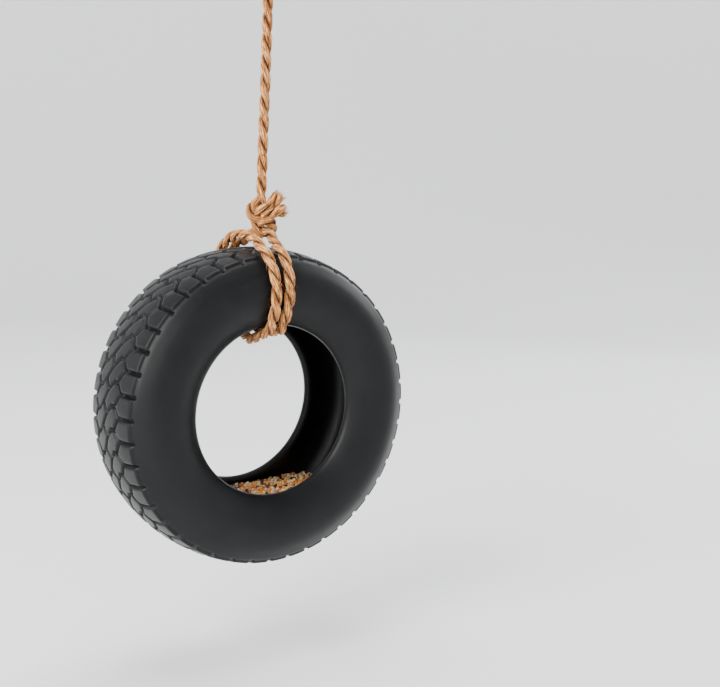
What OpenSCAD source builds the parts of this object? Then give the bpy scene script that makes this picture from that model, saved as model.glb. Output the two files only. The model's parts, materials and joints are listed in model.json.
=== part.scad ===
// Hanging bird feeder: a small glazed ceramic tire, hollow and open along its inner rim,
// slung on a twisted jute rope. The hanging point is the origin and the rope drops along -Z.
// The tire's axle lies along Y, so its open centre faces -Y and +Y.

/* [Tire] */
// Outer diameter over the tread
outer_d = 165; // [140:1:200]
// Overall width between the two sidewalls
tire_w = 62; // [56:1:70]
// Diameter of the open centre, between the rims
hole_d = 88; // [76:1:96]
// Gap between the two rims, the mouth of the trough
mouth_gap = 37; // [30:1:40]
// Thickness of the ceramic wall
wall = 4.6; // [3.6:0.2:5.6]

/* [Tread] */
// Width of the tread between its shoulders
tread_w = 44; // [38:1:48]
// How much lower the tread is at its shoulders than at its middle
crown_drop = 2.4; // [1:0.2:4]
// Number of blocks around each shoulder
block_count = 44; // [30:1:52]
// Depth of the tread grooves
groove_depth = 2.6; // [1.4:0.2:3.4]
// Width of the grooves between the blocks
groove_w = 1.8; // [1:0.2:2.6]

/* [Seed] */
// Depth of the seed bed's surface below the rims
seed_below_rim = 3.5; // [2:0.5:12]
// Gap between the seed bed and the ceramic
seed_gap = 0.3; // [0.2:0.1:0.6]

/* [Rope] */
// Diameter of the rope over its strands
rope_d = 5.4; // [4.6:0.2:5.8]
// Gap between the rope and the ceramic
rope_gap = 0.3; // [0.2:0.1:0.5]
// Length of plain rope between the two knots
rope_run = 102; // [90:1:300]
// Height of the hanging loop over its knot
loop_h = 34; // [30:1:60]
// Height of the knot under the hanging loop
hang_knot_h = 16; // [14:1:20]
// Height of the knot on the sling
sling_knot_h = 24; // [22:1:28]
// Running gap where one stretch of rope bends against the next
bend_gap = 0.3; // [0.2:0.1:0.5]

/* [Hidden] */
$fn = 64;

ceramic = [0.10, 0.105, 0.11];
jute = [0.68, 0.46, 0.29];
millet = [0.80, 0.55, 0.25];

outer_r = outer_d / 2;
hole_r = hole_d / 2;
rope_r = rope_d / 2;

// Heights, from the hanging point down
loop_foot_z = -loop_h;
rope_top_z = loop_foot_z - hang_knot_h;
rope_foot_z = rope_top_z - rope_run;
crown_z = rope_foot_z - sling_knot_h - rope_gap;
tire_z = crown_z - outer_r;

// Centres of the bends, where one stretch of rope moves against the next
dome = rope_r + bend_gap;
swing_front_z = rope_top_z - dome;
swing_side_z = swing_front_z - 10;
twist_z = (rope_top_z + rope_foot_z) / 2;
rock_front_z = rope_foot_z + 17;
rock_side_z = rope_foot_z + 7;

// The tire's section is drawn as [distance from its middle plane, radius from its axle].
rim_r = wall / 2;
rim_c = [mouth_gap / 2 + rim_r, hole_r + rim_r];
base_r = outer_r - groove_depth;
belly_r = hole_r + 0.5 * (outer_r - hole_r);
shoulder_r = outer_r - crown_drop - 5;
shoulder_y = tread_w / 2 + 0.6 * (tire_w - tread_w) / 2;
groove_inner_y = 0.22 * tread_w;
groove_outer_r = shoulder_r - 7;
rim_out = [cos(-45), sin(-45)];
rim_in = [cos(135), sin(135)];

function bezier(a, b, c, d, t) =
    pow(1 - t, 3) * a + 3 * pow(1 - t, 2) * t * b + 3 * (1 - t) * t * t * c + pow(t, 3) * d;
function curve(a, b, c, d, steps) = [for (i = [1 : steps]) bezier(a, b, c, d, i / steps)];
function reversed(points) = [for (i = [len(points) - 1 : -1 : 0]) points[i]];
function mirrored(points) = [for (p = reversed(points)) [-p[0], p[1]]];
function crown(y, top) = top - crown_drop * pow(2 * y / tread_w, 2);

// One side of the outer skin from the rim to the edge of the tread, grown by a distance
function skin(grown) =
    let (
        rim = rim_c + (rim_r + grown) * rim_out,
        belly = [tire_w / 2 + grown, belly_r],
        shoulder = [shoulder_y, shoulder_r] + grown * [0.8, 0.6],
        edge = [tread_w / 2, crown(tread_w / 2, outer_r)] + grown * [0.25, 0.97]
    )
    concat(
        [rim],
        curve(rim, rim + [5, 5], belly - [0, 8], belly, 8),
        curve(belly, belly + [0, 6], shoulder + [1.9, -2.8], shoulder, 6),
        curve(shoulder, shoulder + [-1.2, 1.8], edge + [2.2, -0.5], edge, 4)
    );

// One side of the inner lining from the middle plane round to the rim, shrunk by a distance
function lining(shrunk) =
    let (
        top = [0, base_r - wall - shrunk],
        belly = [tire_w / 2 - wall - shrunk, belly_r],
        rim = rim_c + (rim_r + shrunk) * rim_in
    )
    concat(
        [top],
        curve(top, top + [tread_w * 0.45, 0], belly + [0, 8.5], belly, 10),
        curve(belly, belly - [0, 7], rim + [4, 4], rim, 7)
    );
function part_of(points, first, last) = [for (i = [first : last]) points[i]];
function rim_arc() = [for (a = [165 : 30 : 285]) rim_c + rim_r * [cos(a), sin(a)]];
function crown_arc() = [for (i = [5 : -1 : 0]) let (y = i * tread_w / 12) [y, crown(y, outer_r)]];

// Turns a section about the tire's axle
module ring(section) {
    translate([0, 0, tire_z]) rotate([90, 0, 0]) rotate_extrude($fn = 176)
        polygon([for (p = section) [p[1], -p[0]]]);
}

// A slab of a section, as wide as a groove, standing at an angle round the axle
module slab(section, angle, width) {
    translate([0, 0, tire_z]) rotate([0, angle, 0]) translate([-width / 2, 0, 0])
        rotate([90, 0, 90]) linear_extrude(width) polygon(section);
}

// Cuts between the shoulder blocks, over the edge of the tread and onto the sidewall
module shoulder_grooves() {
    outside = reversed([for (p = skin(4)) if (p[1] > groove_outer_r) p]);
    floor_line = [for (p = skin(-groove_depth)) if (p[1] > groove_outer_r) p];
    section = concat([[groove_inner_y, outer_r + 4]], outside, floor_line, [[groove_inner_y, base_r]]);
    for (i = [0 : block_count - 1], side = [-1, 1])
        slab([for (p = section) [side * p[0], p[1]]], (i + 0.25 + side / 4) * 360 / block_count, groove_w);
}

// The casting is drawn as a tread and two walls, which meet on a cone across each shoulder, so that
// its hollow stays open from every side. These are the cone's ends, as places in the two outlines.
cone_in = 6;
cone_out = 9;

module tire_tread() {
    outer = skin(0);
    half = concat(part_of(lining(0), 0, cone_in), part_of(outer, cone_out, len(outer) - 1), crown_arc());
    other = mirrored([for (i = [1 : len(half) - 2]) half[i]]);
    color(ceramic) difference() {
        ring(concat(half, other));
        shoulder_grooves();
    }
}

module tire_wall(side) {
    inner = lining(0);
    section = concat(part_of(inner, cone_in, len(inner) - 1), rim_arc(), part_of(skin(0), 0, cone_out));
    color(ceramic) ring([for (p = section) [side * p[0], p[1]]]);
}
module tire_front_wall() { tire_wall(-1); }
module tire_back_wall() { tire_wall(1); }

module bird_seed() {
    level = hole_r + seed_below_rim;
    half = concat(lining(seed_gap), [[mouth_gap / 2 - seed_gap, hole_r + rim_r]]);
    other = mirrored([for (i = [1 : len(half) - 1]) half[i]]);
    color(millet) intersection() {
        ring(concat(half, other));
        translate([-outer_r, -tire_w / 2, tire_z - outer_r]) cube([outer_d, tire_w, outer_r - level]);
    }
}

// Sweeps a round tube along points; side_way is never parallel to the tube
module tube(points, side_way, sides = 10) {
    last = len(points) - 1;
    rings = [for (i = [0 : last])
        let (
            along = points[min(i + 1, last)] - points[max(i - 1, 0)],
            u = cross(along, side_way) / norm(cross(along, side_way)),
            v = cross(along, u) / norm(along)
        )
        for (k = [0 : sides - 1])
            points[i] + rope_r * (cos(k * 360 / sides) * u + sin(k * 360 / sides) * v)];
    walls = [for (i = [0 : last - 1], k = [0 : sides - 1])
        let (m = (k + 1) % sides, a = i * sides)
        [a + k, a + m, a + sides + m, a + sides + k]];
    caps = [[for (k = [sides - 1 : -1 : 0]) k], [for (k = [0 : sides - 1]) last * sides + k]];
    polyhedron(rings, concat(walls, caps), convexity = 10);
}

// A straight piece of rope from a to b
module strut(a, b, d = rope_d) {
    way = b - a;
    translate(a) rotate([0, acos(way[2] / norm(way)), atan2(way[1], way[0])]) cylinder(d = d, h = norm(way));
}

// A turn of rope lying round a middle point
module turn(middle, radius, tilt) {
    translate(middle) rotate(tilt) rotate_extrude() translate([radius, 0]) circle(d = rope_d);
}

// The sling: two turns round the top of the tire's section, from [across, y, radius] points.
// The straight pieces between the points cut the bends a little short, so they stand off by that much.
cut_corner = 0.3;
clear = rope_r + rope_gap + cut_corner;
function on_ring(x, y, r) = [x, y, tire_z + sqrt(r * r - x * x)];
side_points = [for (i = [0 : 2 : 18]) skin(clear)[i]];
function front_leg(top_x, rim_x) = [for (i = [9 : -1 : 0])
    on_ring(rim_x + (top_x - rim_x) * i / 9, -side_points[i][0], side_points[i][1])];
function back_leg(rim_x, top_x) = [for (i = [0 : 9])
    on_ring(rim_x + (top_x - rim_x) * i / 9, side_points[i][0], side_points[i][1])];
pass_r = hole_r - clear;
rim_y = rim_c[0];
crown_r = outer_r + clear;
front_way = [-0.15, -0.95, -0.25];
back_way = [0, 0.96, -0.28];
sling_start = [1.6, -7, crown_z + 6.8];
sling_end = [0, 7, crown_z + 6.8];
sling_points = concat(
    [sling_start, sling_start + 3.5 * front_way],
    [on_ring(0, -15, crown_r - 0.2)],
    front_leg(-2, 0),
    [on_ring(0, -rim_y + 1, pass_r), on_ring(-4, 0, pass_r), on_ring(-8, rim_y - 1, pass_r)],
    back_leg(-8, -8),
    [on_ring(-8.4, 13, crown_r + 2), on_ring(-9, 4, crown_r + 3), on_ring(-9.6, -5, crown_r + 3)],
    [on_ring(-10.6, -14, crown_r + 1.6)],
    front_leg(-11, -6.6),
    [on_ring(-6.5, -rim_y + 1, pass_r - 0.4), on_ring(-5.6, -10, pass_r - 3.8)],
    [on_ring(-4, 0, pass_r - rope_d - 0.6), on_ring(-2.4, 10, pass_r - 3.8)],
    [on_ring(-1.4, rim_y - 1, pass_r - 0.4)],
    back_leg(-1.3, 0),
    [on_ring(0, 15, crown_r - 0.2), sling_end + 3.5 * back_way, sling_end]
);
module rope_sling() {
    color(jute) tube(sling_points, [1, 0, 0]);
}

// The knot on the sling, with its two cut ends and the rope's first bend over it
module sling_knot() {
    core_z = crown_z + rope_gap;
    bend_foot_z = core_z + sling_knot_h - 6;
    color(jute) {
        translate([0, 0, core_z]) cylinder(r = 3.6, h = sling_knot_h - 1);
        turn([0.6, 0, core_z + 17.6], 3.6, [0, -14, 0]);
        turn([0.4, 0, core_z + 12], 3.6, [8, 12, 0]);
        turn([-4.6, -0.6, core_z + 15], 2.9, [82, 0, 16]);
        turn([3.8, -1.2, core_z + 9.2], 2.9, [70, 0, -24]);
        strut(sling_start - 5 * front_way, sling_start);
        strut(sling_end - 5 * back_way, sling_end);
        strut([3, -0.5, core_z + 17], [11.4, -1.6, core_z + 24.4]);
        strut([2, -3.2, core_z + 15], [13.4, -4, core_z + 16.6]);
        translate([0, 0, bend_foot_z]) cylinder(d = rope_d, h = rock_side_z - bend_foot_z);
        translate([0, 0, rock_side_z]) sphere(d = rope_d);
    }
}

// A straight stretch of rope: its rounded top bends against the stretch over it
module rope_stretch(top_z, foot_z) {
    color(jute) {
        translate([0, 0, foot_z + dome]) cylinder(d = rope_d, h = top_z - foot_z - dome);
        translate([0, 0, top_z]) sphere(d = rope_d);
    }
}
module rope_stretch_1() { rope_stretch(swing_front_z, swing_side_z); }
module rope_stretch_2() { rope_stretch(swing_side_z, twist_z); }
module rope_stretch_3() { rope_stretch(twist_z, rock_front_z); }
module rope_stretch_4() { rope_stretch(rock_front_z, rock_side_z); }

// The knot under the hanging loop, with its cut end
module hang_knot() {
    color(jute) {
        translate([0, 0, rope_top_z]) cylinder(r = 5.6, h = hang_knot_h);
        turn([0, 0, rope_top_z + 3.6], 3.8, [0, 7, 0]);
        turn([0, 0, rope_top_z + 8.4], 4, [0, -9, 0]);
        turn([0, 0, rope_top_z + hang_knot_h - 3.6], 3.6, [5, 0, 0]);
        strut([-3, -2, rope_top_z + 9], [-13, -6, rope_top_z + 4.4]);
    }
}

// The loop that goes over a hook or a branch
loop_bow_r = 11;
loop_leg_x = 2.8;
bow_z = rope_r - loop_bow_r;
loop_side = concat(
    [[loop_leg_x, 0, loop_foot_z], [loop_leg_x, 0, loop_foot_z + 2]],
    curve([loop_leg_x, 0, loop_foot_z + 2], [loop_leg_x, 0, loop_foot_z + 9],
          [loop_bow_r, 0, bow_z - 10], [loop_bow_r, 0, bow_z], 7),
    [for (a = [15 : 15 : 75]) [loop_bow_r * cos(a), 0, bow_z + loop_bow_r * sin(a)]]
);
loop_points = concat(
    loop_side,
    [[0, 0, rope_r]],
    [for (p = reversed(loop_side)) [-p[0], 0, p[2]]]
);
module hang_loop() {
    color(jute) tube(loop_points, [0, 1, 0]);
}

tire_tread();
tire_front_wall();
tire_back_wall();
bird_seed();
rope_sling();
sling_knot();
rope_stretch_1();
rope_stretch_2();
rope_stretch_3();
rope_stretch_4();
hang_knot();
hang_loop();
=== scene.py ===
"""A hanging bird feeder: a glazed ceramic tire slung on a jute rope, with seed in its trough."""
import json
import math

import bmesh
import bpy
import numpy as np
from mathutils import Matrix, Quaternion, Vector


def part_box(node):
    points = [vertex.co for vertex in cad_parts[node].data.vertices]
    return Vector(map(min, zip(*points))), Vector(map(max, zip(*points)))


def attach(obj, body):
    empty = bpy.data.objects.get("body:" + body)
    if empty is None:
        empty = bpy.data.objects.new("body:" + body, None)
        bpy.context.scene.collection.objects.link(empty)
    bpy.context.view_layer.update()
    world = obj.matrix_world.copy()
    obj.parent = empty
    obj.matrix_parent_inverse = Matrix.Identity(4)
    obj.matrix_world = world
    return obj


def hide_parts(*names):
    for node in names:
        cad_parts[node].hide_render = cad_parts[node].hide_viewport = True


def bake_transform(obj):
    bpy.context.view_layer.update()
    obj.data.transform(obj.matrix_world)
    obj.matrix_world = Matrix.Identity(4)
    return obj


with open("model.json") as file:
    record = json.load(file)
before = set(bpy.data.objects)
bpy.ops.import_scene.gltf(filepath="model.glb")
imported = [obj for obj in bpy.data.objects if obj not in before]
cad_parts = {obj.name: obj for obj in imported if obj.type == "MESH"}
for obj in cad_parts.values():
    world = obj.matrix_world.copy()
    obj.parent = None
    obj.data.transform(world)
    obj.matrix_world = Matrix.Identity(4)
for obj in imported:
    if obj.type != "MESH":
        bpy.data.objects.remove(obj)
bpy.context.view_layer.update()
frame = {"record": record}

MM = 0.001
TAU = 2 * math.pi

# ---------------------------------------------------------------- sizes, in metres
tread_low, tread_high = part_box("tire_tread")
wall_low, wall_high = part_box("tire_back_wall")
OUTER_R = (tread_high[2] - tread_low[2]) / 2
TIRE_Z = (tread_high[2] + tread_low[2]) / 2
CROWN_Z = TIRE_Z + OUTER_R
HALF_W = float(wall_high[1])
MOUTH_HALF = float(wall_low[1])
HOLE_R = 44 * MM
WALL = 4.6 * MM
RIM_R = WALL / 2
TREAD_HALF = 22 * MM
CROWN_DROP = 2.4 * MM
GROOVE_DEPTH = 2.6 * MM
BLOCKS = 44
RIM_C = np.array([MOUTH_HALF + RIM_R, HOLE_R + RIM_R])

ROPE_D = 5.4 * MM
ROPE_R = ROPE_D / 2
LAY = 20.4 * MM                 # length of one full turn of the strands
STRAND_OFF = 1.30 * MM          # from the rope's middle to a strand's middle
STRAND_THICK = 1.38 * MM        # half a strand's thickness, outward
STRAND_WIDE = 1.92 * MM         # half a strand's width, round the rope
STRAND_SIDES = 22
SLING_KNOT_H = 24 * MM
KNOT_LAP = 6 * MM               # how far the plain rope runs into the upper knot
FOOT_LAP = 9 * MM               # and into the lower one
LOOP_FOOT_Z = float(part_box("hang_loop")[0][2])
ROPE_TOP_Z = float(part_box("hang_knot")[0][2])
CORE_Z = float(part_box("sling_knot")[0][2])
ROPE_FOOT_Z = CORE_Z + SLING_KNOT_H
joint_z = {j["name"]: j["pos_m"][2] for j in frame["record"]["behaviour"]["joints"]}
BEND_HALF = 5 * MM              # the rope bends over this much each side of a joint

SEED_LEVEL = float(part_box("bird_seed")[1][2])
SEED_GAP = 0.3 * MM


# ---------------------------------------------------------------- camera, light and stage
def make_camera():
    """Looks at the feeder from the front left and a little above, with the rope leaving the picture."""
    azimuth, elevation, distance = math.radians(-29.2), math.radians(10.4), 0.6
    tire_centre = Vector((0, 0, TIRE_Z))
    out = Vector((math.sin(azimuth) * math.cos(elevation), -math.cos(azimuth) * math.cos(elevation),
                  math.sin(elevation)))
    aim = tire_centre + Vector((0.0493, -0.0245, 0.0334))
    data = bpy.data.cameras.new("camera")
    data.sensor_width = 36
    data.lens = 56.5
    data.clip_start = 0.01
    camera = bpy.data.objects.new("camera", data)
    camera.location = tire_centre + distance * out
    look = (aim - camera.location).to_track_quat("-Z", "Y")
    roll = Quaternion((0, 0, 1), math.radians(2.7))
    camera.rotation_euler = (look @ roll).to_euler()
    bpy.context.scene.collection.objects.link(camera)
    bpy.context.scene.camera = camera


def area_light(name, place, target, size, power, colour=(1, 1, 1)):
    data = bpy.data.lights.new(name, "AREA")
    data.shape = "RECTANGLE"
    data.size, data.size_y = size
    data.energy = power
    data.color = colour
    lamp = bpy.data.objects.new(name, data)
    lamp.location = place
    lamp.rotation_euler = (Vector(target) - Vector(place)).to_track_quat("-Z", "Y").to_euler()
    bpy.context.scene.collection.objects.link(lamp)


def make_lights():
    """Big soft lights on the left, on the right and overhead, and a pale even surround."""
    middle = (0, 0, TIRE_Z)
    area_light("key", (-1.3, -0.45, 0.5), middle, (0.8, 1.3), 44, (1, 0.99, 0.97))
    area_light("rim", (1.35, 0.35, 0.75), middle, (0.6, 1.2), 18, (0.97, 0.99, 1))
    area_light("top", (0, 0.25, 1.7), middle, (1.3, 1.3), 34)
    world = bpy.data.worlds.new("studio")
    world.use_nodes = True
    background = world.node_tree.nodes["Background"]
    background.inputs["Color"].default_value = (0.97, 0.98, 1, 1)
    background.inputs["Strength"].default_value = 0.36
    bpy.context.scene.world = world


def make_stage():
    """A pale floor that curves up all round into a pale wall."""
    floor_z = tread_low[2] - 0.05
    flat, bend, top = 1.6, 0.7, 2.2
    profile = [(0.0, 0.0), (flat, 0.0)]
    profile += [(flat + bend * math.sin(a), bend - bend * math.cos(a))
                for a in np.linspace(0.1, math.pi / 2, 16)]
    profile.append((flat + bend, top))
    turns = 96
    verts = [(r * math.cos(TAU * k / turns), r * math.sin(TAU * k / turns), floor_z + z)
             for r, z in profile[1:] for k in range(turns)]
    faces = [tuple(range(turns))]
    for i in range(len(profile) - 2):
        for k in range(turns):
            n = (k + 1) % turns
            faces.append((i * turns + k, (i + 1) * turns + k, (i + 1) * turns + n, i * turns + n))
    stage = mesh_object("stage", verts, faces)
    stage.data.polygons[0].use_smooth = False
    mat, bsdf = material("pale_floor")
    bsdf.inputs["Base Color"].default_value = (0.88, 0.885, 0.89, 1)
    bsdf.inputs["Roughness"].default_value = 0.8
    stage.data.materials.append(mat)


# ---------------------------------------------------------------- mesh and material helpers
def mesh_object(name, verts, faces):
    mesh = bpy.data.meshes.new(name)
    mesh.from_pydata([tuple(v) for v in verts], [], [tuple(f) for f in faces])
    mesh.update()
    mesh.shade_smooth()
    obj = bpy.data.objects.new(name, mesh)
    bpy.context.scene.collection.objects.link(obj)
    return obj


def point_value(obj, name, values):
    attribute = obj.data.attributes.new(name, "FLOAT", "POINT")
    attribute.data.foreach_set("value", np.asarray(values, np.float32))


def material(name):
    mat = bpy.data.materials.new(name)
    mat.use_nodes = True
    return mat, mat.node_tree.nodes["Principled BSDF"]


class Nodes:
    """Adds shader nodes to one material and links them."""

    def __init__(self, mat):
        self.tree = mat.node_tree

    def add(self, kind, **settings):
        node = self.tree.nodes.new(kind)
        for key, value in settings.items():
            setattr(node, key, value)
        return node

    def link(self, start, end):
        self.tree.links.new(start, end)

    def coordinates(self):
        return self.add("ShaderNodeTexCoord").outputs["Object"]

    def attribute(self, name):
        return self.add("ShaderNodeAttribute", attribute_name=name).outputs["Fac"]

    def noise(self, vector, scale, detail=4, roughness=0.55):
        node = self.add("ShaderNodeTexNoise")
        self.link(vector, node.inputs["Vector"])
        node.inputs["Scale"].default_value = scale
        node.inputs["Detail"].default_value = detail
        node.inputs["Roughness"].default_value = roughness
        return node.outputs["Fac"]

    def stretch(self, vector, scale):
        node = self.add("ShaderNodeMapping")
        self.link(vector, node.inputs["Vector"])
        node.inputs["Scale"].default_value = scale
        return node.outputs["Vector"]

    def ramp(self, value, *stops):
        node = self.add("ShaderNodeValToRGB")
        elements = node.color_ramp.elements
        while len(elements) < len(stops):
            elements.new(0.5)
        for element, (position, colour) in zip(elements, stops):
            element.position = position
            element.color = (*colour, 1)
        self.link(value, node.inputs["Fac"])
        return node.outputs["Color"]

    def span(self, value, low, high):
        node = self.add("ShaderNodeMapRange")
        self.link(value, node.inputs["Value"])
        node.inputs["To Min"].default_value = low
        node.inputs["To Max"].default_value = high
        return node.outputs["Result"]

    def multiply(self, first, second):
        node = self.add("ShaderNodeMix", data_type="RGBA", blend_type="MULTIPLY")
        colours = [s for s in node.inputs if s.type == "RGBA"]
        node.inputs["Factor"].default_value = 1.0
        self.link(first, colours[0])
        self.link(second, colours[1])
        return [s for s in node.outputs if s.type == "RGBA"][0]

    def bump(self, height, distance, strength, under=None):
        node = self.add("ShaderNodeBump")
        node.inputs["Distance"].default_value = distance
        node.inputs["Strength"].default_value = strength
        self.link(height, node.inputs["Height"])
        if under is not None:
            self.link(under, node.inputs["Normal"])
        return node.outputs["Normal"]


def glaze_material():
    """Satin black glaze: a little cloudy, with a fine orange-peel surface and paler edges."""
    mat, bsdf = material("black_glaze")
    n = Nodes(mat)
    place = n.coordinates()
    cloud = n.noise(place, 55, 5)
    colour = n.ramp(cloud, (0.3, (0.0034, 0.0037, 0.0042)), (0.7, (0.0056, 0.0060, 0.0067)))
    edges = n.span(n.add("ShaderNodeNewGeometry").outputs["Pointiness"], 0.0, 1.0)
    worn = n.ramp(edges, (0.49, (0.86, 0.86, 0.87)), (0.58, (1.55, 1.55, 1.52)))
    n.link(n.multiply(colour, worn), bsdf.inputs["Base Color"])
    n.link(n.span(n.noise(place, 130, 3), 0.35, 0.47), bsdf.inputs["Roughness"])
    peel = n.bump(n.noise(place, 850, 2), 0.00005, 0.55)
    n.link(n.bump(n.noise(place, 160, 3), 0.00018, 0.35, peel), bsdf.inputs["Normal"])
    bsdf.inputs["Specular IOR Level"].default_value = 0.19
    return mat


def jute_material():
    """Jute: pale fibres over browner ones, running along the rope, with painted shade down between the
    strands and a little painted light on the strands' crowns.
    """
    mat, bsdf = material("jute_rope")
    n = Nodes(mat)
    along = n.add("ShaderNodeUVMap", uv_map="fibres").outputs["UV"]
    place = n.coordinates()
    fine = n.noise(n.stretch(along, (420, 3400, 1)), 1, 3, 0.6)
    streaks = n.noise(n.stretch(along, (210, 1250, 1)), 1, 3, 0.6)
    coarse = n.noise(n.stretch(along, (70, 520, 1)), 1, 2)
    colour = n.ramp(streaks, (0.39, (0.13, 0.036, 0.008)), (0.46, (0.44, 0.170, 0.044)),
                    (0.53, (0.66, 0.310, 0.092)), (0.61, (0.98, 0.66, 0.32)))
    hairs = n.ramp(fine, (0.40, (0.48, 0.37, 0.28)), (0.52, (1.05, 1.02, 0.99)))
    patches = n.ramp(coarse, (0.32, (0.74, 0.66, 0.58)), (0.60, (1.05, 1.05, 1.05)))
    # painted shade and light: this depth ramp darkens the rope down between the strands and lightens the
    # strands' crowns; loose fibres carry a random tone through it
    depth = n.ramp(n.attribute("depth"), (0.42, (0.12, 0.060, 0.035)), (0.74, (0.78, 0.70, 0.62)),
                   (1.0, (1.14, 1.11, 1.07)))
    colour = n.multiply(colour, hairs)
    colour = n.multiply(colour, patches)
    colour = n.multiply(colour, depth)
    tone = n.ramp(n.noise(place, 45, 2), (0.35, (0.93, 0.88, 0.84)), (0.65, (1.05, 1.05, 1.04)))
    n.link(n.multiply(colour, tone), bsdf.inputs["Base Color"])
    bsdf.inputs["Roughness"].default_value = 0.8
    bsdf.inputs["Specular IOR Level"].default_value = 0.2
    bsdf.inputs["Sheen Weight"].default_value = 0.08
    bsdf.inputs["Sheen Roughness"].default_value = 0.5
    ridges = n.bump(fine, 0.0003, 0.8)
    n.link(n.bump(streaks, 0.0007, 0.8, ridges), bsdf.inputs["Normal"])
    return mat


def grain_material(name, tones, roughness, streak=0.0):
    """Seed coat: each grain has one tone of a run, with a mottled surface and stripes on some kinds."""
    mat, bsdf = material(name)
    n = Nodes(mat)
    place = n.coordinates()
    stops = [(i / (len(tones) - 1), tone) for i, tone in enumerate(tones)]
    colour = n.ramp(n.attribute("tone"), *stops)
    mottle = n.ramp(n.noise(place, 1400, 3), (0.35, (0.78, 0.74, 0.70)), (0.65, (1.06, 1.05, 1.03)))
    colour = n.multiply(colour, mottle)
    if streak:
        stripes = n.ramp(n.noise(place, 2600, 2), (0.45, (1.0, 1.0, 1.0)), (0.62, (streak,) * 3))
        colour = n.multiply(colour, stripes)
    n.link(colour, bsdf.inputs["Base Color"])
    n.link(n.span(n.noise(place, 900, 2), roughness - 0.08, roughness + 0.1), bsdf.inputs["Roughness"])
    n.link(n.bump(n.noise(place, 2200, 3), 0.00008, 0.6), bsdf.inputs["Normal"])
    return mat


# ---------------------------------------------------------------- the tire
def bezier(a, b, c, d, count):
    """Points of a curve from a to d, without its first point."""
    a, b, c, d = (np.asarray(p, float) for p in (a, b, c, d))
    t = np.linspace(0, 1, count + 1)[1:, None]
    return (1 - t) ** 3 * a + 3 * (1 - t) ** 2 * t * b + 3 * (1 - t) * t ** 2 * c + t ** 3 * d


LINING_OUTER, LINING_INNER = 40, 30         # points of the lining outside and inside its widest place


def lining_curve(shrunk=0.0):
    """The hollow's inner face, from over the middle plane round to the rim, as (across, radius)."""
    belly_r = (HOLE_R + OUTER_R) / 2
    top = np.array([0, OUTER_R - GROOVE_DEPTH - WALL - shrunk])
    belly = np.array([HALF_W - WALL - shrunk, belly_r])
    rim = RIM_C + (RIM_R + shrunk) * np.array([-1, 1]) / math.sqrt(2)
    outer = bezier(top, top + (0.9 * TREAD_HALF, 0), belly + (0, 8.5 * MM), belly, LINING_OUTER)
    inner = bezier(belly, belly - (0, 7 * MM), rim + (4 * MM, 4 * MM), rim, LINING_INNER)
    return np.vstack([[top], outer, inner])


def half_section():
    """The back half of the section: from the tread's middle over the shoulder and the sidewall, round
    the rim, and along the lining back to the middle plane. Returns the points, how far along each lies,
    and how far along each part ends."""
    belly = np.array([HALF_W, (HOLE_R + OUTER_R) / 2])
    edge = np.array([TREAD_HALF, OUTER_R - CROWN_DROP])
    shoulder = np.array([TREAD_HALF + 0.6 * (HALF_W - TREAD_HALF), OUTER_R - CROWN_DROP - 5 * MM])
    across = np.linspace(0, TREAD_HALF, 60)
    crown = np.stack([across, OUTER_R - CROWN_DROP * (across / TREAD_HALF) ** 2], 1)
    rim_out = RIM_C + RIM_R * np.array([1, -1]) / math.sqrt(2)
    over = bezier(edge, edge + (2.2 * MM, -0.5 * MM), shoulder + (-1.2 * MM, 1.8 * MM), shoulder, 20)
    upper = bezier(shoulder, shoulder + (1.9 * MM, -2.8 * MM), belly + (0, 6 * MM), belly, 40)
    lower = bezier(belly, belly - (0, 8 * MM), rim_out + (5 * MM, 5 * MM), rim_out, 50)
    turn = np.radians(np.linspace(-45, -225, 30))[1:]
    rim = RIM_C + RIM_R * np.stack([np.cos(turn), np.sin(turn)], 1)
    lining = lining_curve()[::-1][1:]
    parts = [crown, over, upper, lower, rim, lining]
    points = np.vstack(parts)
    lengths = np.concatenate([[0], np.cumsum(np.linalg.norm(np.diff(points, axis=0), axis=1))])
    ends = lengths[np.cumsum([len(p) for p in parts]) - 1]
    return points, lengths, ends


# The tread's pattern, as grooves from one point to another with their floor width and depth. A point is
# its way round in blocks and its way from the middle towards the front in millimetres.
PITCH = TAU * OUTER_R / BLOCKS
NOTCH, TIP, HOOK, MIDDLE = (0, 14.0), (0.45, 9.6), (0.42, 6.8), (0.1, 2.4)
BACK_SHIFT = 0.6
TREAD_GROOVES = [
    (NOTCH, (0, 24.6), 1.3, 2.6),
    (NOTCH, TIP, 0.7, 2.0),
    (TIP, (1, 14.0), 0.5, 1.7),
    (TIP, HOOK, 1.1, 2.2),
    (HOOK, MIDDLE, 0.3, 1.3),
    (MIDDLE, (0.5, -2.4), 0.9, 2.1),
    ((0.5, -2.4), (1.1, 2.4), 0.4, 1.6),
]
GROOVE_SOFT = 0.75 * MM
ROUNDING, ROUNDING_WIDTH = 0.45 * MM, 2.6 * MM
BLOCK_EDGE, STEP_WIDTH, STEP_DEPTH = 22.4 * MM, 1.9 * MM, 1.0 * MM


def smooth_step(t):
    t = np.clip(t, 0, 1)
    return t * t * (3 - 2 * t)


def groove(distance, width):
    """1 on the floor of a groove, falling to 0 over its soft edges."""
    return 1 - smooth_step((distance - width / 2) / GROOVE_SOFT)


def to_segment(x, y, a, b):
    """How far points lie from the straight line between a and b."""
    a, b = np.asarray(a, float), np.asarray(b, float)
    way = b - a
    t = np.clip(((x - a[0]) * way[0] + (y - a[1]) * way[1]) / (way @ way), 0, 1)
    return np.hypot(x - a[0] - t * way[0], y - a[1] - t * way[1])


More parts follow.
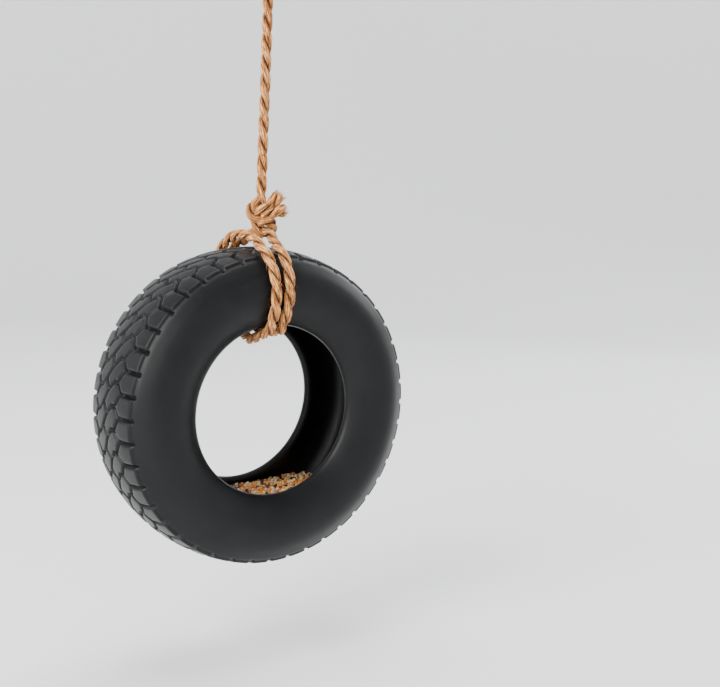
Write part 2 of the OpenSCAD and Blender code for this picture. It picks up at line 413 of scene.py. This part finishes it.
def tread_relief(turns, across):
    """How deep the skin lies under the crown, at turns blocks round the tire and across from its middle.
    Five-sided shoulder blocks stand outside rows of slanting six-sided ones. Half a turn about a point on
    the middle line carries the front half of the pattern to the back half."""
    depth = np.zeros_like(across)
    near = np.full_like(across, 1.0)
    for u, w in ((turns, -across), (BACK_SHIFT - turns, across)):
        u = u - np.floor(u)
        for start, end, width, deep in TREAD_GROOVES:
            for shift in (-1, 0, 1):
                a = ((start[0] + shift) * PITCH, start[1] * MM)
                b = ((end[0] + shift) * PITCH, end[1] * MM)
                distance = to_segment(u * PITCH, w, a, b)
                depth = np.maximum(depth, deep * MM * groove(distance, width * MM))
                near = np.minimum(near, distance)
    return depth + ROUNDING * (1 - np.clip(near / ROUNDING_WIDTH, 0, 1)) ** 2


def make_tire():
    """One closed skin: fine over the tread, coarser on the sidewalls and rims, coarsest inside."""
    points, lengths, ends = half_section()
    belly_end, rim_end, lining_end = ends[2], ends[4], ends[5]
    fine_end, flush_end = BLOCK_EDGE + 5 * MM, BLOCK_EDGE + 20 * MM
    # where each zone starts and ends, the step between its rings, and the points round each ring
    zones = ((0, fine_end, 0.62 * MM, 18 * BLOCKS), (fine_end, rim_end, 1.7 * MM, 9 * BLOCKS),
             (rim_end, lining_end, 4.0 * MM, 9 * BLOCKS // 2))
    rows = []
    for first, last, step, columns in zones:
        count = int(round((last - first) / step))
        rows += [(v, columns) for v in np.linspace(first, last, count, endpoint=False)]
    rows.append((lining_end, zones[-1][3]))
    loop = [(v, columns, 1) for v, columns in rows] + [(v, columns, -1) for v, columns in rows[-2:0:-1]]
    verts, start, sizes = [], [], []
    for v, columns, side in loop:
        before, here, after = (np.array([np.interp(v + d, lengths, points[:, k]) for k in (0, 1)])
                               for d in (-0.2 * MM, 0, 0.2 * MM))
        y, r = here
        way = after - before
        out = np.array([-way[1], way[0]]) / np.linalg.norm(way)
        if out @ (here - RIM_C) < 0 and v < belly_end:
            out = -out
        turns = np.arange(columns) * BLOCKS / columns
        down = np.zeros(columns)
        if v < flush_end:
            inset = STEP_DEPTH * smooth_step((v - BLOCK_EDGE) / STEP_WIDTH)
            inset *= 1 - smooth_step((v - fine_end) / (flush_end - fine_end))
            down = np.maximum(down, inset)
        if v < fine_end:
            fade = 1 - smooth_step((v - BLOCK_EDGE - STEP_WIDTH) / (2.4 * MM))
            down = np.maximum(down, tread_relief(turns, np.full(columns, side * v)) * fade)
        angle = turns * TAU / BLOCKS
        radius = r - down * out[1]
        start.append(sum(sizes))
        sizes.append(columns)
        verts.append(np.stack([radius * np.sin(angle), side * (y - down * out[0]),
                               TIRE_Z + radius * np.cos(angle)], 1))
    verts = np.vstack(verts)
    faces = []
    for i in range(len(loop)):
        n = (i + 1) % len(loop)
        faces += join_rings(start[i], sizes[i], start[n], sizes[n])
    tire = mesh_object("tire_glazed", verts, faces)
    tire.data.materials.append(glaze_material())
    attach(tire, "feeder")
    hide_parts("tire_tread", "tire_front_wall", "tire_back_wall")
    return tire


def join_rings(first, count, second, other):
    """Faces between two rings of points; one ring may have twice as many points as the other."""
    faces = []
    if count == other:
        for k in range(count):
            m = (k + 1) % count
            faces.append((first + k, first + m, second + m, second + k))
    elif count == 2 * other:
        for k in range(other):
            a, b, c = first + 2 * k, first + 2 * k + 1, first + (2 * k + 2) % count
            p, q = second + k, second + (k + 1) % other
            faces += [(a, b, p), (b, q, p), (b, c, q)]
    else:
        for face in join_rings(second, other, first, count):
            faces.append(face[::-1])
    return faces


# ---------------------------------------------------------------- rope
def smooth_route(points, step=0.6 * MM):
    """Points every step along a smooth curve through the given ones."""
    p = np.asarray(points, float)
    p = np.vstack([2 * p[0] - p[1], p, 2 * p[-1] - p[-2]])
    line = []
    for i in range(1, len(p) - 2):
        count = max(2, int(np.linalg.norm(p[i + 1] - p[i]) / step))
        t = np.linspace(0, 1, count, endpoint=False)[:, None]
        a, b, c, d = p[i - 1], p[i], p[i + 1], p[i + 2]
        line.append(0.5 * (2 * b + (c - a) * t + (2 * a - 5 * b + 4 * c - d) * t ** 2
                           + (3 * b - a - 3 * c + d) * t ** 3))
    line.append([p[-2]])
    line = np.vstack(line)
    lengths = np.concatenate([[0], np.cumsum(np.linalg.norm(np.diff(line, axis=0), axis=1))])
    even = np.linspace(0, lengths[-1], max(2, int(round(lengths[-1] / step)) + 1))
    return np.stack([np.interp(even, lengths, line[:, k]) for k in range(3)], 1)


def route_frames(line, first_normal=(1, 0, 0)):
    """Two directions across the route at each point, carried along it without twisting."""
    way = np.gradient(line, axis=0)
    way /= np.linalg.norm(way, axis=1)[:, None]
    normal = np.asarray(first_normal, float)
    normals = []
    for t in way:
        normal = normal - (normal @ t) * t
        normal = normal / np.linalg.norm(normal)
        normals.append(normal)
    normals = np.array(normals)
    return way, normals, np.cross(way, normals)


CUT_SWELL, CUT_REACH = 0.30, 8 * MM         # how much a cut end opens out, and over what length


class RopeMesh:
    """Collects strands and loose fibres of one rope piece and makes a single mesh of them."""

    def __init__(self, seed):
        self.verts, self.faces, self.depth, self.uv = [], [], [], []
        self.random = np.random.default_rng(seed)

    def ring_tube(self, rings, depth, uv):
        """rings is points x sides x 3; the tube's ends are closed."""
        base = sum(len(v) for v in self.verts)
        count, sides = rings.shape[:2]
        self.verts.append(rings.reshape(-1, 3))
        self.depth.append(np.broadcast_to(depth, (count, sides)).reshape(-1))
        self.uv.append(uv.reshape(-1, 2))
        for i in range(count - 1):
            for k in range(sides):
                m = (k + 1) % sides
                a = base + i * sides
                self.faces.append((a + k, a + m, a + sides + m, a + sides + k))
        self.faces.append(tuple(base + k for k in range(sides))[::-1])
        self.faces.append(tuple(base + (count - 1) * sides + k for k in range(sides)))

    def strands(self, line, start_turn=0.0, first_normal=(1, 0, 0), cut=False):
        """Two strands twisted round each other along a line, with ridges of yarn along the rope. They
        open out towards a cut end."""
        _, normal, across = route_frames(line, first_normal)
        s = np.concatenate([[0], np.cumsum(np.linalg.norm(np.diff(line, axis=0), axis=1))])
        phi = np.linspace(-math.pi, math.pi, STRAND_SIDES, endpoint=False)
        for strand in range(2):
            theta = start_turn + strand * math.pi - TAU * s / LAY
            wobble = 0.05 * np.sin(s / (3.1 * MM) + strand * 2.0 + start_turn)
            outward = np.cos(theta)[:, None] * normal + np.sin(theta)[:, None] * across
            sideways = -np.sin(theta)[:, None] * normal + np.cos(theta)[:, None] * across
            whole = phi[None, :] + theta[:, None]
            ridge = (1 + 0.055 * np.cos(6 * whole + 0.9 * np.sin(s / (4.3 * MM))[:, None])
                     + 0.04 * np.cos(9 * whole + 1.0 + s[:, None] / (7 * MM)))
            near, wide = STRAND_THICK * (1 + wobble), STRAND_WIDE * (1 + 0.6 * wobble)
            swell = 1 + CUT_SWELL * np.clip(1 - (s[-1] - s) / CUT_REACH, 0, 1) * cut
            a = (near * swell)[:, None] * ridge * np.cos(phi)[None, :]
            b = (wide * swell)[:, None] * ridge * np.sin(phi)[None, :]
            off = STRAND_OFF * swell
            rings = (line[:, None, :] + (off[:, None] + a)[:, :, None] * outward[:, None, :]
                     + b[:, :, None] * sideways[:, None, :])
            # how far out from the rope's middle each point lies, which the jute material turns into
            # painted shade between the strands
            depth = np.linalg.norm(rings - line[:, None, :], axis=2) / (STRAND_OFF + STRAND_THICK)
            uv = np.stack([np.broadcast_to(s[:, None], depth.shape) + strand * 0.37,
                           whole * ROPE_R + strand * 0.11], 2)
            self.ring_tube(rings, depth, uv)

    def fibre(self, start, way, lift, length, radius):
        """One loose fibre: a thin curved thread that leaves along way and lifts off."""
        t = np.linspace(0, 1, 5)[:, None]
        line = start + length * t * way + length * t ** 2 * lift
        side = np.cross(way, lift)
        size = np.linalg.norm(side)
        side = side / size if size > 1e-6 else np.cross(way, (0.3, 0.5, 0.8))
        side = side / np.linalg.norm(side)
        other = np.cross(way, side)
        thick = radius * (1 - 0.7 * t)
        rings = np.stack([line + thick * (math.cos(a) * side + math.sin(a) * other)
                          for a in (0, TAU / 3, 2 * TAU / 3)], 1)
        tone = 0.8 + 0.35 * self.random.random()
        uv = np.zeros((5, 3, 2)) + self.random.random(2) * 0.5
        self.ring_tube(rings, tone, uv)

    def fuzz(self, line, per_mm=1.0, keep=(0, 1)):
        """Loose fibres along a rope's surface."""
        way, normal, across = route_frames(line)
        total = len(line)
        length = np.linalg.norm(np.diff(line, axis=0), axis=1).sum()
        for _ in range(int(length / MM * per_mm)):
            i = int(total * (keep[0] + (keep[1] - keep[0]) * self.random.random()) * 0.999)
            a = TAU * self.random.random()
            out = math.cos(a) * normal[i] + math.sin(a) * across[i]
            turn = math.cos(a + 1.57) * normal[i] + math.sin(a + 1.57) * across[i]
            forward = way[i] * self.random.choice([-1, 1])
            start = line[i] + out * 2.2 * MM
            direction = forward + self.random.uniform(-0.6, 0.6) * turn
            direction /= np.linalg.norm(direction)
            lift = out * self.random.uniform(0.08, 0.5) + turn * self.random.uniform(-0.3, 0.3)
            self.fibre(start, direction, lift, self.random.uniform(2.0, 4.4) * MM,
                       self.random.uniform(0.045, 0.085) * MM)

    def frayed_end(self, tip, way, count=150):
        """A cut end: a tuft of fibres that spread a little past it."""
        way = np.asarray(way, float) / np.linalg.norm(way)
        side = np.cross(way, (0.2, 0.4, 0.9))
        side /= np.linalg.norm(side)
        other = np.cross(way, side)
        for _ in range(count):
            a, r = TAU * self.random.random(), 3.2 * MM * math.sqrt(self.random.random())
            out = math.cos(a) * side + math.sin(a) * other
            self.fibre(tip + r * out - 0.8 * MM * way, way, out * self.random.uniform(-0.05, 0.35),
                       self.random.uniform(1.6, 3.2) * MM, self.random.uniform(0.07, 0.13) * MM)

    def finish(self, name, body, nodes, mat):
        rope = mesh_object(name, np.vstack(self.verts), self.faces)
        # depth drives the painted shade between the strands; on loose fibres it holds a random tone
        point_value(rope, "depth", np.concatenate(self.depth))
        layer = rope.data.uv_layers.new(name="fibres")
        uv = np.vstack(self.uv)
        corner = np.zeros(len(rope.data.loops), np.int32)
        rope.data.loops.foreach_get("vertex_index", corner)
        layer.data.foreach_set("uv", uv[corner].astype(np.float32).ravel())
        rope.data.materials.append(mat)
        if body:
            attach(rope, body)
        if nodes:
            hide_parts(*nodes)
        return rope


def straight(top, foot):
    """A route straight down."""
    return smooth_route([(0, 0, top), (0, 0, (top + foot) / 2), (0, 0, foot)])


def make_rope_run(jute):
    """The plain rope, one piece for each place where it bends and a long middle one."""
    z = joint_z
    cuts = [ROPE_TOP_Z + KNOT_LAP, z["swing_front_back"] - BEND_HALF, z["swing_side"] - BEND_HALF,
            z["rock_front_back"] + BEND_HALF, z["rock_side"] + BEND_HALF, ROPE_FOOT_Z - FOOT_LAP]
    names = ["rope_bend_top", "rope_bend_side", "rope_run", "rope_rock_front", "rope_rock_side"]
    nodes = [["rope_stretch_1"], ["rope_stretch_2"], ["rope_stretch_3"], ["rope_stretch_4"], []]
    pieces = {}
    for i, name in enumerate(names):
        rope = RopeMesh(20 + i)
        line = straight(cuts[i], cuts[i + 1])
        turned = -TAU * (cuts[0] - cuts[i]) / LAY
        rope.strands(line, turned)
        rope.fuzz(line, 1.3)
        piece = rope.finish(name, None, nodes[i], jute)
        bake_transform(piece)
        pieces[name] = (piece, line)
    return pieces


def ring_point(x, y, r):
    """A point over the tire's section: r is its distance from the axle."""
    return (x * MM, y * MM, TIRE_Z + math.sqrt((r * MM) ** 2 - (x * MM) ** 2))


def sling_route():
    """Two turns of rope round the top of the tire's section, then up into the knot."""
    clear = ROPE_R / MM + 0.6
    outer, hole = OUTER_R / MM, HOLE_R / MM
    crown_r, pass_r = outer + clear, hole - clear
    rim_y = RIM_C[0] / MM
    side = grown_side(clear)

    def back_leg(rim_x, top_x):
        return [ring_point(rim_x + (top_x - rim_x) * i / 9, y, r) for i, (y, r) in enumerate(side)]

    def front_leg(top_x, rim_x):
        return [(x, -y, z) for x, y, z in back_leg(rim_x, top_x)[::-1]]

    crown = CROWN_Z / MM
    start = np.array([1.6, -7, crown + 6.8])
    end = np.array([0, 7, crown + 6.8])
    front_way, back_way = np.array([-0.15, -0.95, -0.25]), np.array([0, 0.96, -0.28])
    points = [tuple(p * MM) for p in (start - 5 * front_way, start, start + 3.5 * front_way)]
    points += [ring_point(0, -15, crown_r - 0.2)] + front_leg(-2, 0)
    points += [ring_point(0, -rim_y + 1, pass_r), ring_point(-4, 0, pass_r),
               ring_point(-8, rim_y - 1, pass_r)]
    points += back_leg(-8, -8)
    points += [ring_point(-8.4, 13, crown_r + 2), ring_point(-9, 4, crown_r + 3),
               ring_point(-9.6, -5, crown_r + 3), ring_point(-10.6, -14, crown_r + 1.6)]
    points += front_leg(-11, -6.6)
    points += [ring_point(-6.5, -rim_y + 1, pass_r - 0.4), ring_point(-5.6, -10, pass_r - 3.8),
               ring_point(-4, 0, pass_r - 6), ring_point(-2.4, 10, pass_r - 3.8),
               ring_point(-1.4, rim_y - 1, pass_r - 0.4)]
    points += back_leg(-1.3, 0)
    points += [ring_point(0, 15, crown_r - 0.2)]
    points += [tuple(p * MM) for p in (end + 3.5 * back_way, end, end - 5 * back_way)]
    return points


def grown_side(grown):
    """Ten points over the sidewall from the rim to the tread's edge, a distance off it, all in mm."""
    rim_c, rim_r = RIM_C / MM, RIM_R / MM
    outer, hole, half_w = OUTER_R / MM, HOLE_R / MM, HALF_W / MM
    tread, drop = TREAD_HALF / MM, CROWN_DROP / MM
    rim = rim_c + (rim_r + grown) * np.array([1, -1]) / math.sqrt(2)
    belly = np.array([half_w + grown, (outer + hole) / 2])
    shoulder = np.array([tread + 0.6 * (half_w - tread) + 0.8 * grown, outer - drop - 5 + 0.6 * grown])
    edge = np.array([tread + 0.25 * grown, outer - drop + 0.97 * grown])
    points = np.vstack([[rim], bezier(rim, rim + (5, 5), belly - (0, 8), belly, 8),
                        bezier(belly, belly + (0, 6), shoulder + (1.9, -2.8), shoulder, 6),
                        bezier(shoulder, shoulder + (-1.2, 1.8), edge + (2.2, -0.5), edge, 4)])
    return points[:19:2]


def make_sling(jute):
    line = smooth_route(sling_route())
    rope = RopeMesh(41)
    rope.strands(line, 0.6, (1, 0, 0))
    rope.fuzz(line, 1.1)
    piece = rope.finish("sling_rope", "feeder", ["rope_sling"], jute)
    return piece


def make_sling_knot(jute):
    """The knot over the tread: a round turn, a lobe to the left, a small bight and two cut ends."""
    base = np.array([0, 0, CORE_Z / MM])
    routes = {
        "column": [(-0.6, 2.2, 21), (-1.8, 1.6, 16.5), (-2.2, 0.4, 12), (-1.4, -0.8, 7.6),
                   (0.6, -1.2, 4.6)],
        "lobe": [(1.6, 1.2, 21.0), (-1.8, 0.4, 22.2), (-5.0, -0.5, 21.0), (-6.3, -1.0, 18.0),
                 (-5.0, -1.5, 15.0), (-1.8, -1.6, 13.6), (1.5, -0.4, 13.0)],
        "turn": [(-3.2, 1.6, 17.4), (-0.6, 3.6, 18.4), (3.0, 2.8, 19.6), (4.3, -0.6, 20.2),
                 (2.4, -3.4, 20.0), (-0.8, -3.9, 19.0), (-3.0, -2.0, 17.6), (-2.4, 1.0, 16.6)],
        "bight": [(-2.2, -1.6, 12.6), (0.6, -4.0, 13.2), (4.0, -3.8, 12.6), (6.2, -2.4, 10.6),
                  (5.2, -1.2, 8.0), (2.6, -1.2, 7.4), (0.2, -0.4, 8.4)],
        "end_up": [(-0.5, 0.5, 16.6), (2.8, -0.9, 19.4), (5.8, -1.8, 22.6), (8.0, -2.2, 25.0),
                   (9.2, -2.3, 26.2)],
        "end_side": [(-1.0, -2.6, 15.0), (2.6, -4.2, 16.4), (6.2, -4.6, 18.0), (8.8, -4.5, 18.6),
                     (10.6, -4.3, 18.7)],
    }
    rope = RopeMesh(51)
    for i, (name, points) in enumerate(routes.items()):
        line = smooth_route([(base + p) * MM for p in points])
        cut = name.startswith("end")
        rope.strands(line, 0.9 * i, (0.1, 0.2, 1.0), cut)
        rope.fuzz(line, 1.2, (0.1, 0.95))
        if cut:
            rope.frayed_end(line[-1], line[-1] - line[-4])
    return rope.finish("knot_on_sling", "feeder", ["sling_knot"], jute)


def make_hang_knot(jute):
    """The knot under the loop: two and a half turns round the rope, and a cut end."""
    base = np.array([0, 0, ROPE_TOP_Z / MM])
    coil = [(3.75 * math.cos(a), 3.75 * math.sin(a), 2.9 + 10.2 * (a - 3.4) / 15.4)
            for a in np.linspace(3.4, 18.8, 24)]
    routes = {
        "coil": [(-1.5, 0.5, 3.4)] + coil + [(0.4, 1.8, 13.0)],
        "end": [(2.0, 2.0, 11.0), (-1.6, -2.4, 9.4), (-5.2, -4.0, 7.8), (-8.6, -5.0, 6.2),
                (-11.4, -5.7, 5.2)],
        "heart": [(2.8, 0, 20), (2.4, 0, 14), (0.8, 0, 8), (0, 0, 3)],
        "second": [(-2.8, 0, 20), (-2.4, 0, 14), (-0.8, 0, 8)],
    }
    rope = RopeMesh(61)
    for i, (name, points) in enumerate(routes.items()):
        line = smooth_route([(base + p) * MM for p in points])
        rope.strands(line, 1.1 * i, (0.1, 1.0, 0.2), name == "end")
        if name != "heart":
            rope.fuzz(line, 1.1)
        if name == "end":
            rope.frayed_end(line[-1], line[-1] - line[-4])
    return rope.finish("knot_under_loop", "hanger", ["hang_knot"], jute)


def make_loop(jute):
    """The loop that goes over a hook or a branch."""
    bow_r, leg_x, foot = 11, 2.8, LOOP_FOOT_Z / MM
    bow_z = ROPE_R / MM - bow_r
    leg = bezier((leg_x, foot + 2), (leg_x, foot + 9), (bow_r, bow_z - 10), (bow_r, bow_z), 7)
    side = [(leg_x, foot), (leg_x, foot + 2)] + [tuple(p) for p in leg]
    side += [(bow_r * math.cos(math.radians(a)), bow_z + bow_r * math.sin(math.radians(a)))
             for a in range(15, 90, 15)]
    outline = side + [(0, bow_z + bow_r)] + [(-x, z) for x, z in side[::-1]]
    line = smooth_route([(x * MM, 0, z * MM) for x, z in outline])
    rope = RopeMesh(71)
    rope.strands(line, 0.3, (0, 1, 0))
    rope.fuzz(line, 1.2)
    piece = rope.finish("loop_rope", "hanger", ["hang_loop"], jute)
    return piece


# ---------------------------------------------------------------- seed
GRAIN_SPACING = 1.72 * MM
GRAIN_EDGE = 1.2 * MM           # grains keep this far inside the bed's edge
# of the grains in random order: first millet that also carries a raised grain, then plain millet, then
# dark grains, then pale ones; the rest are plain millet
RAISED, PLAIN, DARK, PALE = 230, 30, 190, 120
# from red-brown through orange and yellow to cream
MILLET_TONES = [(0.22, 0.035, 0.010), (0.66, 0.165, 0.022), (0.78, 0.27, 0.035), (0.86, 0.40, 0.075),
                (0.90, 0.60, 0.20), (0.92, 0.78, 0.46)]


def bed_half_width(x):
    """Half the seed bed's width across the tire at its surface, at a place x along it."""
    curve = lining_curve(SEED_GAP)
    radius = math.hypot(x, TIRE_Z - SEED_LEVEL)
    order = np.argsort(curve[:, 1])
    return float(np.interp(radius, curve[order, 1], curve[order, 0]))


def bed_bottom(x, y):
    """The height of the seed bed's underside, on the hollow's outer wall."""
    upper = lining_curve(SEED_GAP)[:LINING_OUTER + 1]
    radius = np.interp(abs(y), upper[:, 0], upper[:, 1])
    return TIRE_Z - math.sqrt(max(radius ** 2 - x ** 2, 0))


def make_seed_bed(mat):
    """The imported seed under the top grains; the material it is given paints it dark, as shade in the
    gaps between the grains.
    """
    half_length = float(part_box("bird_seed")[1][0]) - 0.4 * MM
    columns, lanes = 90, 36
    rng = np.random.default_rng(5)
    top, bottom = [], []
    for i in range(columns + 1):
        x = half_length * (2 * i / columns - 1)
        width = bed_half_width(x) - 0.2 * MM
        for k in range(lanes + 1):
            y = width * (2 * k / lanes - 1)
            edge = i in (0, columns) or k in (0, lanes)
            z = SEED_LEVEL - (1.6 + (0 if edge else 0.45 * rng.random())) * MM
            floor = min(bed_bottom(x, y) + 0.1 * MM, z)
            top.append((x, y, z))
            bottom.append((x, y, z if edge else min(floor, z - 0.2 * MM)))
    verts = top + bottom
    count = len(top)
    faces = []
    for i in range(columns):
        for k in range(lanes):
            a = i * (lanes + 1) + k
            b = a + lanes + 1
            faces.append((a, b, b + 1, a + 1))
            faces.append((count + a, count + a + 1, count + b + 1, count + b))
    bed = mesh_object("seed_bed", verts, faces)
    work = bmesh.new()
    work.from_mesh(bed.data)
    bmesh.ops.remove_doubles(work, verts=work.verts, dist=1e-7)
    work.to_mesh(bed.data)
    work.free()
    bed.data.shade_smooth()
    point_value(bed, "tone", np.full(len(bed.data.vertices), 0.35))
    bed.data.materials.append(mat)
    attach(bed, "feeder")
    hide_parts("bird_seed")


def ball(subdivisions):
    """The points and faces of a unit ball of small triangles."""
    work = bmesh.new()
    bmesh.ops.create_icosphere(work, subdivisions=subdivisions, radius=1)
    verts = np.array([v.co for v in work.verts])
    faces = np.array([[v.index for v in f.verts] for f in work.faces])
    work.free()
    return verts, faces


def turned_any_way(rng):
    """A random rotation matrix."""
    q = rng.normal(size=4)
    q /= np.linalg.norm(q)
    return np.array(Quaternion(q).to_matrix())


def grains(name, places, size, rng, mat, tip=0.0):
    """Many small ellipsoids of slightly different size and lie; tip draws one end out to a point."""
    verts, faces = ball(2)
    pointed = verts.copy()
    pointed[:, 1:] *= (1 - tip * np.clip(pointed[:, :1], 0, 1))
    all_verts, all_faces, tones = [], [], []
    for i, place in enumerate(places):
        scale = np.array(size) * MM * rng.uniform(0.88, 1.12)
        all_verts.append((pointed * scale) @ turned_any_way(rng).T + place)
        all_faces.append(faces + i * len(verts))
        tones.append(np.full(len(verts), rng.random()))
    piece = mesh_object(name, np.vstack(all_verts), np.vstack(all_faces).tolist())
    point_value(piece, "tone", np.concatenate(tones))
    piece.data.materials.append(mat)
    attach(piece, "feeder")
    return piece


def make_seed():
    """A bed of millet with dark and pale grains scattered through it."""
    rng = np.random.default_rng(7)
    half_length = float(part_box("bird_seed")[1][0])
    places = []
    row = 0
    y = -HALF_W
    while y < HALF_W:
        x = -half_length + (row % 2) * GRAIN_SPACING / 2
        while x < half_length:
            p = np.array([x, y]) + rng.uniform(-0.3, 0.3, 2) * MM
            inside = abs(p[0]) < half_length - GRAIN_EDGE
            if inside and abs(p[1]) < bed_half_width(p[0]) - GRAIN_EDGE:
                places.append((p[0], p[1], SEED_LEVEL - 1.25 * MM + rng.uniform(-0.35, 0.35) * MM))
            x += GRAIN_SPACING
        y += GRAIN_SPACING * 0.866
        row += 1
    places = [places[i] for i in rng.permutation(len(places))]
    first_dark = RAISED + PLAIN
    first_pale = first_dark + DARK
    last_pale = first_pale + PALE
    raised = [(x, y, z + rng.uniform(0.7, 1.1) * MM) for x, y, z in places[:RAISED]]
    dark = [(x, y, z + 0.6 * MM) for x, y, z in places[first_dark:first_pale]]
    pale = [(x, y, z + 0.8 * MM) for x, y, z in places[first_pale:last_pale]]
    millet = places[:first_dark] + places[last_pale:] + raised
    gold = grain_material("millet_coat", MILLET_TONES, 0.40)
    black = grain_material("dark_seed_coat", [(0.010, 0.008, 0.008), (0.050, 0.036, 0.028)], 0.36)
    cream = grain_material("pale_seed_coat", [(0.62, 0.46, 0.27), (0.88, 0.78, 0.58)], 0.5, 0.62)
    # the seed under the top grains is dark brown: painted shade in the gaps between the grains
    make_seed_bed(grain_material("packed_seed", [(0.05, 0.018, 0.006), (0.12, 0.045, 0.012)], 0.6))
    grains("millet_grains", millet, (1.0, 0.94, 0.9), rng, gold)
    grains("dark_grains", dark, (1.5, 0.85, 0.75), rng, black, 0.45)
    grains("pale_grains", pale, (1.9, 1.15, 0.75), rng, cream, 0.35)


# ---------------------------------------------------------------- everything together
def main():
    make_camera()
    make_lights()
    make_stage()
    jute = jute_material()
    run = make_rope_run(jute)
    make_sling(jute)
    knot = make_sling_knot(jute)
    make_hang_knot(jute)
    make_loop(jute)
    make_tire()
    make_seed()


main()
